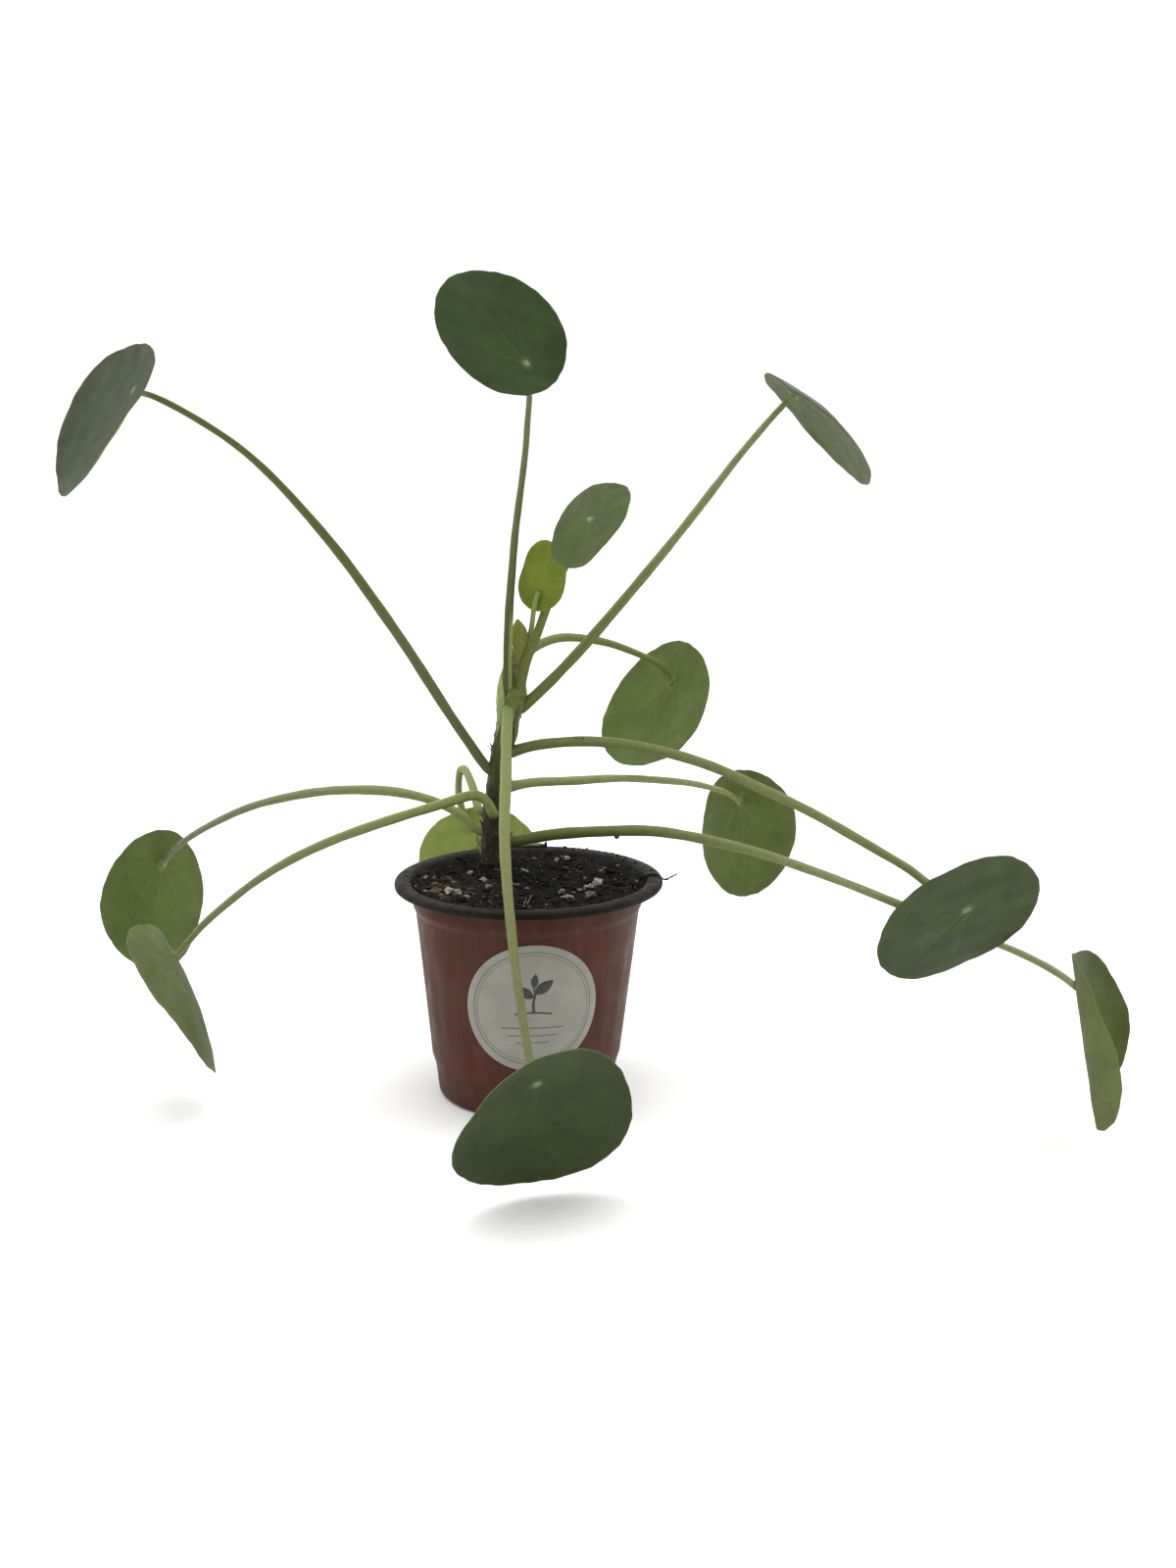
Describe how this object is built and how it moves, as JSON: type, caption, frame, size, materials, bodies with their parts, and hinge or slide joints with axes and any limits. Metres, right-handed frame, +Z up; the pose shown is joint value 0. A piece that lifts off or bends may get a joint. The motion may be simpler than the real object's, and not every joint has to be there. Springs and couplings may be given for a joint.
{
  "type": "potted plant",
  "caption": "Round-leaved house plant on long arching stalks, growing from a short stem in a tapered nursery pot filled with potting mix.",
  "frame": {"origin": "middle of the pot's underside, on the surface it stands on", "axes": "+X along the widest spread of the leaves (right in the picture), +Y towards the back, +Z up"},
  "size_m": [0.3886, 0.2046, 0.3023],
  "materials": {
    "pot_plastic": "satin",
    "label_paper": "matte",
    "potting_mix": "matte",
    "stem_bark": "matte",
    "stalk_green": "satin",
    "leaf_green": "satin",
    "leaf_young_green": "satin"
  },
  "bodies": {
    "root": {"label": "label_paper", "leaf_behind_pot": "leaf_young_green", "leaf_bud": "leaf_young_green", "leaf_far_right": "leaf_green", "leaf_front": "leaf_green", "leaf_left_back": "leaf_green", "leaf_left_front": "leaf_green", "leaf_new": "leaf_young_green", "leaf_right_back_high": "leaf_green", "leaf_right_back_low": "leaf_green", "leaf_right_front": "leaf_green", "leaf_upper_left": "leaf_green", "leaf_upper_right": "leaf_green", "leaf_upright": "leaf_green", "leaf_young": "leaf_green", "main_stem": "stem_bark", "petiole_behind_pot": "stalk_green", "petiole_bud": "stalk_green", "petiole_far_right": "stalk_green", "petiole_front": "stalk_green", "petiole_left_back": "stalk_green", "petiole_left_front": "stalk_green", "petiole_new": "stalk_green", "petiole_right_back_high": "stalk_green", "petiole_right_back_low": "stalk_green", "petiole_right_front": "stalk_green", "petiole_upper_left": "stalk_green", "petiole_upper_right": "stalk_green", "petiole_upright": "stalk_green", "petiole_young": "stalk_green", "pot": "pot_plastic", "potting_mix": "potting_mix"}
  },
  "joints": []
}
